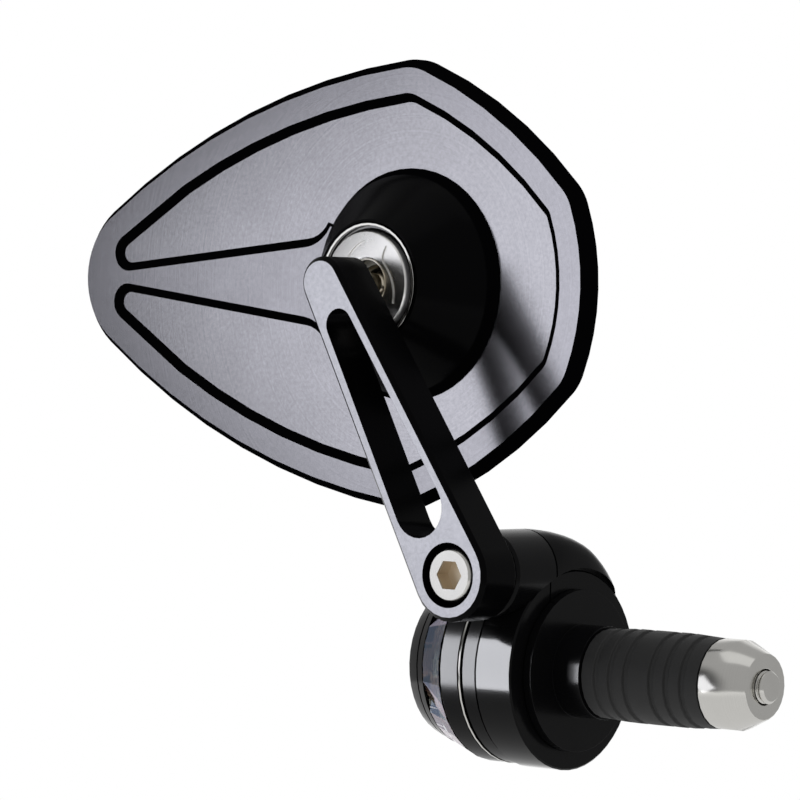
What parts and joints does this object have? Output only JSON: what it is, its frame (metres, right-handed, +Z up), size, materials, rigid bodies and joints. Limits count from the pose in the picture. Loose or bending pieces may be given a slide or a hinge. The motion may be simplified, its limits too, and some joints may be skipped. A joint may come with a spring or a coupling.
{
  "type": "bar-end mirror",
  "caption": "Handlebar-end mirror: machined leaf-shaped head on a ball joint, slotted arm, slit clamp and a ring light around an expanding bar plug.",
  "frame": {"origin": "centre of the flange face that seats on the end of the handlebar tube", "axes": "+X along the handlebar into the bar, -Y the way the machined back of the head faces, +Z up"},
  "size_m": [0.1679, 0.0477, 0.131],
  "materials": {
    "black_anodised": "black anodised, glossy",
    "machined_aluminium": "fine turned faces, black anodised sides and pockets",
    "bright_steel": "bright",
    "clear_lens": "clear, faceted",
    "light_board": "satin",
    "black_rubber": "matt",
    "white_nylon": "satin",
    "mirror_silver": "polished"
  },
  "bodies": {
    "bar_end": {"bar_end_body": "black_anodised", "trim_ring": "bright_steel", "bezel_ring": "black_anodised", "lens_ring": "clear_lens", "led_board": "light_board", "lens_gasket": "black_rubber", "end_cap": "black_anodised", "expander_bolt": "bright_steel", "expander_washer": "bright_steel", "expander_sleeve": "black_rubber", "expander_nut": "bright_steel"},
    "clamp": {"clamp_body": "black_anodised", "pivot_washer": "black_anodised", "arm_bolt": "bright_steel"},
    "swing_arm": {"arm": "machined_aluminium"},
    "stud": {"ball_stud": "bright_steel"},
    "cup": {"ball_seat": "white_nylon"},
    "head": {"head_plate": "machined_aluminium", "retainer_disc": "bright_steel", "retainer_ring": "bright_steel", "glass_bond": "black_rubber", "mirror_glass": "mirror_silver"}
  },
  "joints": [
    {"name": "clamp_turn", "type": "hinge", "parent": "bar_end", "child": "clamp", "pos_m": [0, 0, 0], "axis": [1, 0, 0], "continuous": true},
    {"name": "arm_swing", "type": "hinge", "parent": "clamp", "child": "swing_arm", "pos_m": [-0.0085, -0.0198, 0.0179], "axis": [0, 1, 0], "range_deg": [-20, 60]},
    {"name": "head_spin", "type": "hinge", "parent": "swing_arm", "child": "stud", "pos_m": [-0.04076, -0.01, 0.07014], "axis": [0, 1, 0], "range_deg": [-35, 35]},
    {"name": "head_tilt", "type": "hinge", "parent": "stud", "child": "cup", "pos_m": [-0.04076, -0.01, 0.07014], "axis": [1, 0, 0], "range_deg": [-12, 12]},
    {"name": "head_pan", "type": "hinge", "parent": "cup", "child": "head", "pos_m": [-0.04076, -0.01, 0.07014], "axis": [0, 0, 1], "range_deg": [-12, 12]}
  ]
}
